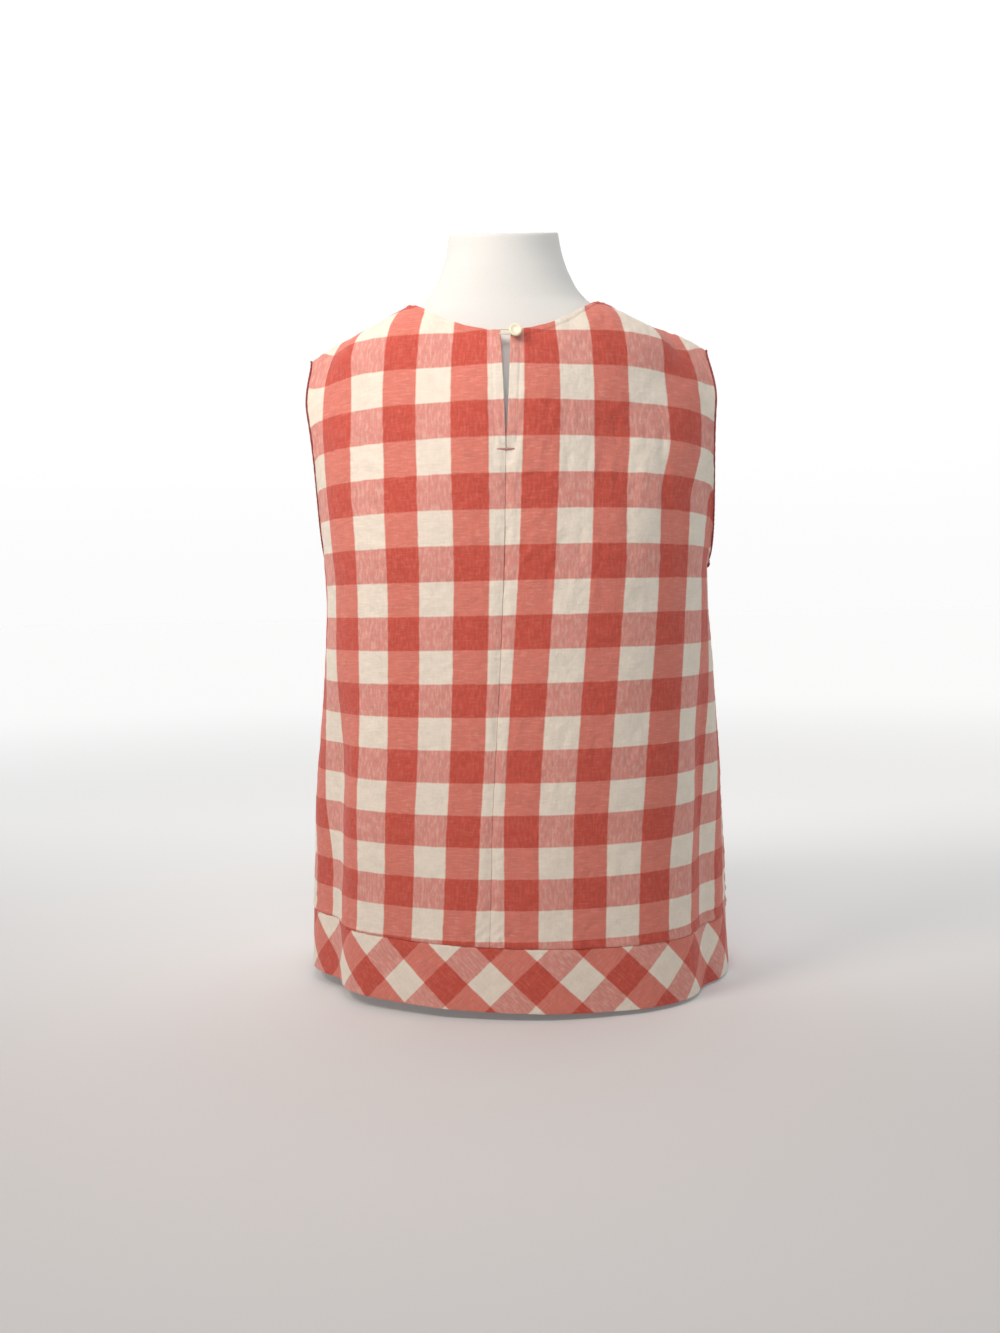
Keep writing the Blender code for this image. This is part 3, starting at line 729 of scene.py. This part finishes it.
def make_gingham(name):
    """Woven check: the UV map "cloth" gives the place on the cloth in metres."""
    material, tree, shader = shader_graph(name, 0.86, 0.12)
    place = add(tree, "ShaderNodeUVMap", uv_map="cloth").outputs[0]
    parts = add(tree, "ShaderNodeSeparateXYZ", {0: place})
    across, down = parts.outputs[0], parts.outputs[1]

    wobble = noise(tree, place, 90.0, 2.0)
    wobble = product(tree, math_node(tree, "SUBTRACT", wobble, 0.5), STRIPE_WANDER)

    def red_stripe(distance, repeat):
        """0 in the white stripes and 1 in the red ones; a white stripe's middle is at zero."""
        moved = math_node(tree, "ADD", distance, wobble)
        share = math_node(tree, "PINGPONG", product(tree, moved, 1 / repeat), 0.5)
        return ramp(tree, share, 0.25 - STRIPE_BLUR, 0.25 + STRIPE_BLUR)

    def streaks(across_scale, down_scale):
        """Uneven threads: noise that changes by these scales across the cloth and down it."""
        values = {0: place, 1: (across_scale, down_scale, 1.0)}
        stretched = add(tree, "ShaderNodeVectorMath", values, operation="MULTIPLY").outputs[0]
        return noise(tree, stretched, 1.0, 3.0, 0.6)

    warp_threads = streaks(430, 110)
    weft_threads = streaks(95, 560)
    blotches = noise(tree, place, 70.0, 3.0)
    warp_slubs = ramp(tree, warp_threads, 0.42, 0.72)
    weft_slubs = ramp(tree, weft_threads, 0.48, 0.76)

    less_weft = math_node(tree, "SUBTRACT", 1.0, product(tree, warp_slubs, 0.27))
    less_warp = math_node(tree, "SUBTRACT", 1.0, product(tree, weft_slubs, 0.15))
    warp = product(tree, red_stripe(across, CHECK_ACROSS), less_warp)
    weft = product(tree, red_stripe(down, CHECK_DOWN), less_weft)
    on_white = mixed(tree, weft, WHITE_ON_WHITE, RED_WEFT)
    on_red = mixed(tree, weft, RED_WARP, RED_ON_RED)
    colour = mixed(tree, warp, on_white, on_red)

    grey = product(tree, math_node(tree, "ADD", warp_threads, weft_threads), 0.5)
    value = ramp(tree, grey, 0.30, 0.70, 0.945, 1.035)
    value = product(tree, value, ramp(tree, blotches, 0.3, 0.7, 0.965, 1.025))
    shaded = add(tree, "ShaderNodeHueSaturation", {"Value": value, "Color": colour})
    tree.links.new(shaded.outputs[0], shader.inputs["Base Color"])

    def thread_waves(distance):
        return math_node(tree, "SINE", product(tree, distance, 2 * math.pi / THREAD_PITCH))

    weave = product(tree, thread_waves(across), thread_waves(down))
    height = math_node(tree, "ADD", product(tree, weave, 0.25), product(tree, grey, 2.4))
    crinkles = product(tree, noise(tree, place, 110.0, 3.0), 8.0)
    height = math_node(tree, "ADD", height, crinkles)
    relief = add(tree, "ShaderNodeBump", {"Height": height, "Strength": 0.5, "Distance": 0.0004})
    tree.links.new(relief.outputs[0], shader.inputs["Normal"])
    return material


def make_plain(name, colour, roughness, grain=0.05, scale=400.0, sheen=0.0, depth=0.0002):
    """A plain finish with a fine uneven grain in its colour and relief."""
    material, tree, shader = shader_graph(name, roughness, sheen)
    place = add(tree, "ShaderNodeTexCoord").outputs["Object"]
    grains = noise(tree, place, scale, 4.0, 0.6)
    value = ramp(tree, grains, 0.3, 0.7, 1 - grain, 1 + grain)
    shaded = add(tree, "ShaderNodeHueSaturation", {"Value": value, "Color": (*colour, 1)})
    tree.links.new(shaded.outputs[0], shader.inputs["Base Color"])
    relief = add(tree, "ShaderNodeBump", {"Height": grains, "Strength": 0.5, "Distance": depth})
    tree.links.new(relief.outputs[0], shader.inputs["Normal"])
    return material


# -------- the blouse
def wider_to_the_edge(grid):
    """A panel's grid, drawn out along the armhole, under the binding, and in at the shoulder's tip."""
    away = unit(grid[:, -1] - grid[:, -10])
    from_edge = -lengths_from(grid.swapaxes(0, 1), -1).T
    from_tip = -lengths_from(grid[:, -1], -1)[:, None]
    out = np.clip(1 - from_edge / EDGE_REACH, 0, 1) ** 2 * EDGE_SHIFTS
    out -= np.clip(1 - from_edge / TIP_REACH, 0, 1) ** 2 * TIP_SHIFT * (1 - ease(from_tip / TIP_LENGTH))
    return grid + away[:, None] * out[..., None]


def make_panels(form_tree):
    """The four half panels and the four half bands, as pieces with relief."""
    panels, bands = {}, {}
    for side in (1, -1):
        for front in (False, True):
            coarse = off_the_form(half_panel(side, front), form_tree)
            if not front:
                coarse = opened(coarse, side)
            columns = FRONT_COLUMNS if front else BACK_COLUMNS
            panel = Piece(wider_to_the_edge(finer(coarse, PANEL_ROWS, columns)), side, front, columns)
            flat = finer(flattened(Piece(coarse, side, front)), PANEL_ROWS, columns)
            panel.across, panel.down = flat[..., 0], flat[..., 1]
            give_panel_relief(panel)
            panels[side, front] = panel
            band = finer(half_band(side, front), BAND_ROWS, BAND_COLUMNS)
            bands[side, front] = Piece(band, side, front)
            give_band_relief(bands[side, front])
    return panels, bands


def drawn_out(piece):
    """How much further out the stripes of the back lie than on a smooth body, by the place on the back."""
    at_the_side = ease((piece.across - 0.10) / 0.13) * (1 - 0.7 * ease((piece.down - 0.40) / 0.10))
    on_the_shoulder = ease((piece.across - 0.06) / 0.15) * (1 - ease((piece.down - 0.085) / 0.055))
    return SIDE_EASE[piece.side] * at_the_side + SHOULDER_EASE[piece.side] * on_the_shoulder


def panel_places(piece):
    """Places on the cloth, where its stripes run straight down the middle of the panel."""
    moved = 0
    if not piece.front:
        moved = through(piece.down, *np.array(TAKEN_IN)) - drawn_out(piece)
    across, down = piece.side * (piece.across + moved), piece.down - FIRST_WHITE_ROW
    return np.stack([across, down], -1)


def band_places(piece):
    """Places on the cloth of a band that is cut across it, at 45 degrees."""
    across, down = piece.side * piece.across, piece.down - BAND_WHITE
    return np.stack([across + down, across - down], -1) / math.sqrt(2)


def whole(pieces, read, front):
    """The two halves of a front or a back as one grid, by rising angle."""
    left, right = (read(pieces[side, front]) for side in (1, -1))
    first, second = (left, right) if front else (right, left)
    return np.concatenate([first[:, ::-1], second[:, 1:]], axis=1)


def make_cloth(panels, bands, gingham):
    """The panels and the hem bands, each as one shell that stands for its CAD node."""
    faces = [lambda piece: piece.outer, lambda piece: piece.inner]
    for side, name in ((1, "back_left"), (-1, "back_right")):
        grids = [read(panels[side, False])[:, ::side] for read in [*faces, panel_places]]
        shell(name, *grids, gingham)
    shells = [
        ("front", panels, panel_places, True),
        ("hem_band_back", bands, band_places, False),
        ("hem_band_front", bands, band_places, True),
    ]
    for name, pieces, read_places, front in shells:
        grids = [whole(pieces, read, front) for read in [*faces, read_places]]
        shell(name, *grids, gingham)


def round_armhole(of_back, of_front):
    """From the underarm up the back's edge, over the shoulder and down the front's, as one closed line."""
    up_the_back, up_the_front = of_back[UNDERARM_START:], of_front[UNDERARM_START:]
    underarm, tip = ((up_the_back[i] + up_the_front[i]) / 2 for i in (0, -1))
    return np.concatenate([[underarm], up_the_back[1:-1], [tip], up_the_front[1:-1][::-1]])


def smoothed(loop, times):
    for _ in range(times):
        loop = (np.roll(loop, 1, 0) + 2 * loop + np.roll(loop, -1, 0)) / 4
    return loop


def make_binding(name, back, front, side, material):
    """The bound edge of an armhole: a flattened closed tube round the outside of the panels' edges."""
    edge = round_armhole(back.grid[:, -1], front.grid[:, -1])
    out = smoothed(unit(round_armhole(back.outwards[:, -1], front.outwards[:, -1])), 3)
    along = unit(np.roll(edge, -1, 0) - np.roll(edge, 1, 0))
    away = -side * unit(np.cross(along, out))
    square = unit(np.cross(along, away))
    out = square * np.sign((square * out).sum(-1, keepdims=True))

    shift = EDGE_SHIFTS[UNDERARM_START:]
    near, far = BINDING_GAP * 0.4, ARMHOLE_BINDING - np.concatenate([shift, shift[-2:0:-1]])
    middle = edge + away * (far + near) / 2 + out * WALL / 2
    gone = np.concatenate([[0], np.cumsum(np.linalg.norm(np.diff(edge, axis=0), axis=1))])
    scallop = np.abs(np.sin(math.pi * gone / SCALLOP))[:, None]
    lines = []
    for turn in np.linspace(0, 2 * math.pi, 20, endpoint=False):
        a, o = (np.sign(wave) * abs(wave) ** 0.75 for wave in (math.cos(turn), math.sin(turn)))
        reach = a * (far - near) / 2 * (1 + 0.25 * max(a, 0) * (scallop - 0.5))
        lines.append(middle + away * reach + out * o * BINDING_WALL / 2 * (0.85 + 0.25 * scallop))
    grid = np.stack(lines, axis=1)
    rows, columns, _ = grid.shape
    at = np.arange(rows * columns).reshape(rows, columns)
    down, right = np.roll(at, -1, 0), np.roll(at, -1, 1)
    faces = np.stack([at, right, np.roll(right, -1, 0), down], -1).reshape(-1, 4)
    if side > 0:
        faces = faces[:, ::-1]
    obj = new_object(name + "_strip", grid.reshape(-1, 3), faces, material)
    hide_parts(name)


def swept(name, rings, material):
    """A solid through a list of rings of points, closed at each end."""
    count, sides = len(rings), len(rings[0])
    faces = grid_faces(count, sides, closed=True).tolist()
    faces += [range(sides)[::-1], range((count - 1) * sides, count * sides)]
    return new_object(name, np.concatenate(rings), faces, material)


def circle(middle, radius, right, up, sides):
    turns = np.linspace(0, 2 * math.pi, sides, endpoint=False)[:, None]
    return middle + radius * (np.cos(turns) * right + np.sin(turns) * up)


def make_form(material):
    """The form's cover: the CAD rings, drawn finer and with a rounded edge at the neck's cut."""
    knots = FORM["height"]
    spans = [np.linspace(low, high, 7) for low, high in zip(knots[:-1], knots[1:])]
    heights = np.unique(np.concatenate(spans))[:, None]
    grid = form_point(np.linspace(0, 2 * math.pi, 160, endpoint=False), heights)
    fade = np.clip((heights - CAP_FADE) / (knots[-1] - CAP_FADE), 0, 1)
    grid[..., 2] -= CAP_SLOPE * fade * (grid[..., 1] - FORM["widest"][-1])
    middle = grid[-1].mean(0)
    cap = [middle + (grid[-1] - middle) * share + (0, 0, rise) for share, rise in CAP_ROUNDING]
    obj = swept("form_body", [*grid, *cap], material)
    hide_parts("dress_form")


# -------- the closure
def on_the_back(pieces, x, height):
    """A point just off the outer face of the back, and its right, up and outward ways."""
    points, normals = [], []
    for piece in pieces:
        near = (piece.grid[..., 0] - x) ** 2 + (piece.grid[..., 2] - height) ** 2
        i, j = np.unravel_index(np.argmin(near), near.shape)
        points.append(piece.outer[i, j] + piece.outwards[i, j] * LAID_GAP)
        normals.append(piece.outwards[i, j])
    facing = unit(np.mean(normals, axis=0) * (0, 1, 1))
    right = np.array((1.0, 0.0, 0.0))
    up = np.cross(right, -facing)
    near = np.mean(points, axis=0)
    across = np.array((x, near[1], near[2]))
    return across + up * (height - near[2]) / up[2], right, up, facing


def make_button(foot, right, up, facing, material):
    """A pearly shank button: a stem under a round head with a dished face and a soft rim."""
    shank_radius, shank_height = BUTTON_SHANK
    head = BUTTON_THICKNESS
    profile = [(shank_radius * 1.1, 0.0), (shank_radius, shank_height * 0.5), (shank_radius, shank_height)]
    profile += [
        (BUTTON_RADIUS - head * 0.5 * (1 - math.cos(t)), shank_height + head * 0.5 * (1 + math.sin(t)))
        for t in np.linspace(-math.pi / 2, math.pi / 2, 11)
    ]
    profile += [(BUTTON_RADIUS * share, shank_height + head * (1 - dish)) for share, dish in BUTTON_DISH]
    rings = [circle(foot + facing * height, radius, right, up, 48) for radius, height in profile]
    obj = swept("button_head", rings, material)
    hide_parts("button")


def make_loop(foot, right, up, facing, material):
    """The thread loop: two strands from the left half's edge that meet round the button's shank."""
    along = np.linspace(LOOP_REACH, 0, 24)
    turns = np.linspace(0, math.pi, 17)[1:-1]
    flat = [(u, LOOP_BEND) for u in along]
    flat += [(-LOOP_BEND * math.sin(t), LOOP_BEND * math.cos(t)) for t in turns]
    flat += [(u, -LOOP_BEND) for u in along[::-1]]
    lift = facing * (LOOP_THREAD + LAID_GAP)
    path = np.array([foot + u * right + v * up + lift for u, v in flat])
    ahead = unit(np.gradient(path, axis=0))
    rings = [circle(p, LOOP_THREAD, np.cross(facing, step), facing, 12) for p, step in zip(path, ahead)]
    obj = swept("loop_thread", rings, material)
    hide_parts("button_loop")


def make_bar_tack(foot, right, up, facing, material):
    """The bar below the slit: close stitches wrapped over a core, with rounded ends."""
    width, height, depth = BAR_TACK
    wraps = 26
    rings = []
    for step in np.linspace(-1, 1, wraps * 6 + 1):
        end = math.sqrt(max(1 - abs(step) ** 8, 0.02))
        swell = 1 + 0.10 * math.cos(math.pi * wraps * (step + 1))
        middle = foot + right * width / 2 * 1.08 * step + facing * depth * 0.45
        turns = np.linspace(0, 2 * math.pi, 12, endpoint=False)[:, None]
        oval = up * np.cos(turns) * height / 2 * 0.9 + facing * np.sin(turns) * depth / 2 * 0.9
        rings.append(middle + oval * end * swell)
    obj = swept("slit_tack", rings, material)
    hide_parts("bar_tack")


def make_closure(panels, thread, ivory, pearl):
    left, right = panels[1, False], panels[-1, False]
    button_at = on_the_back([right], *BUTTON_PLACE)
    make_button(*button_at, pearl)
    make_loop(*button_at, ivory)
    slit_end = NECK_BACK[2] - SLIT_DEPTH
    middle = left.grid[np.argmin(np.abs(left.grid[:, 0, 2] - slit_end)), 0, 0]
    make_bar_tack(*on_the_back([left, right], middle, slit_end), thread)


# -------- the studio
def make_floor():
    """A pale floor that runs off level on every side, and glows a little far from the part, as lit there."""
    size = 30.0
    corners = [(-size, -size, 0), (size, -size, 0), (size, size, 0), (-size, size, 0)]
    mesh = bpy.data.meshes.new("floor")
    mesh.from_pydata(corners, [], [(0, 1, 2, 3)])
    material, tree, shader = shader_graph("floor_paper", 0.9)
    shader.inputs["Base Color"].default_value = (*srgb(214, 216, 215), 1)
    shader.inputs["Emission Color"].default_value = (1.0, 1.0, 1.0, 1)
    place = add(tree, "ShaderNodeTexCoord").outputs["Object"]
    ahead = add(tree, "ShaderNodeSeparateXYZ", {0: place}).outputs[1]
    away = add(tree, "ShaderNodeVectorMath", {0: place}, operation="LENGTH").outputs["Value"]
    behind = ramp(tree, ahead, 0.5, -1.1, 0.07, 0.42)
    glow = math_node(tree, "ADD", behind, ramp(tree, away, 1.0, 4.0, 0.0, 0.17))
    tree.links.new(glow, shader.inputs["Emission Strength"])
    mesh.materials.append(material)
    floor = bpy.data.objects.new("floor", mesh)
    bpy.context.scene.collection.objects.link(floor)


def make_light(name, place, target, size, power, spread, colour):
    """A round lamp at a place, which shines at its target within a spread of degrees."""
    light = bpy.data.lights.new(name, "AREA")
    light.shape = "DISK"
    light.size = size
    light.energy = power
    light.spread = math.radians(spread)
    light.color = colour
    lamp = bpy.data.objects.new(name, light)
    lamp.location = place
    lamp.rotation_mode = "QUATERNION"
    lamp.rotation_quaternion = (Vector(target) - Vector(place)).to_track_quat("-Z", "Y")
    bpy.context.scene.collection.objects.link(lamp)


def light_the_scene():
    """A close soft lamp from high on the photograph's left, one overhead, and a pale room.

    The room is bright in front of the blouse. Behind it, where the camera stands, it is dimmer, most of all
    high up, so that the back shows its shadows.
    """
    make_light("key", (0.85, 0.78, 1.32), (0.05, 0.12, 0.58), 0.5, 3.5, 100, (1.0, 0.83, 0.74))
    make_light("overhead", (0.05, 0.85, 1.40), (-0.02, 0.15, 0.60), 0.5, 1.5, 100, (0.95, 0.94, 0.97))
    world = bpy.data.worlds.new("studio")
    world.use_nodes = True
    tree = world.node_tree
    direction = add(tree, "ShaderNodeTexCoord").outputs["Generated"]
    _, behind, up = add(tree, "ShaderNodeSeparateXYZ", {0: direction}).outputs
    bright = mixed(tree, ramp(tree, up, 0.0, 0.25), (0.97, 0.97, 0.97), (1.05, 1.05, 1.05))
    dim = mixed(tree, ramp(tree, up, 0.38, 0.62), (0.50, 0.48, 0.47), (0.06, 0.04, 0.04))
    sky = mixed(tree, ramp(tree, behind, -0.5, 0.1), bright, dim)
    tree.links.new(sky, tree.nodes["Background"].inputs["Color"])
    bpy.context.scene.world = world
    bpy.context.scene.view_settings.view_transform = "Standard"


def make_camera():
    """The photograph's camera: its place, its tilt and roll, and the part of its picture that was kept."""
    width, height = IMAGE
    data = bpy.data.cameras.new("camera")
    data.sensor_fit = "VERTICAL"
    data.sensor_height = 36.0
    data.lens = FOCAL_PIXELS * data.sensor_height / height
    data.shift_x = -(IMAGE_CENTRE[0] - width / 2) / height
    data.shift_y = (IMAGE_CENTRE[1] - height / 2) / height
    pitch, roll = math.radians(CAMERA_PITCH), math.radians(CAMERA_ROLL)
    ahead = Vector((0.0, -math.cos(pitch), -math.sin(pitch)))
    level = ahead.cross(Vector((0.0, 0.0, 1.0))).normalized()
    upright = level.cross(ahead)
    right = level * math.cos(roll) - upright * math.sin(roll)
    up = level * math.sin(roll) + upright * math.cos(roll)
    camera = bpy.data.objects.new("camera", data)
    turn = Matrix((right, up, -ahead)).transposed()
    camera.matrix_world = Matrix.Translation(CAMERA_PLACE) @ turn.to_4x4()
    bpy.context.scene.collection.objects.link(camera)
    bpy.context.scene.camera = camera


def main():
    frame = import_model()
    make_camera()

    gingham = make_gingham("gingham_cloth")
    binding = make_plain("binding_cloth", BINDING_RED, 0.85, 0.12, 700.0, 0.1)
    thread = make_plain("pink_thread", THREAD_PINK, 0.7, 0.12, 2500.0)
    ivory = make_plain("ivory_thread", srgb(238, 230, 200), 0.6, 0.08, 2500.0)
    pearl = make_plain("pearl", srgb(240, 234, 205), 0.25, 0.05, 500.0, depth=0.00005)
    cover = make_plain("form_jersey", FORM_WHITE, 0.8, 0.015, 900.0, 0.1)

    tree = BVHTree.FromObject(frame["nodes"]["dress_form"], bpy.context.evaluated_depsgraph_get())
    panels, bands = make_panels(tree)
    make_form(cover)
    make_cloth(panels, bands, gingham)
    make_binding("armhole_binding_left", panels[1, False], panels[1, True], 1, binding)
    make_binding("armhole_binding_right", panels[-1, False], panels[-1, True], -1, binding)
    make_closure(panels, thread, ivory, pearl)

    make_floor()
    light_the_scene()


main()
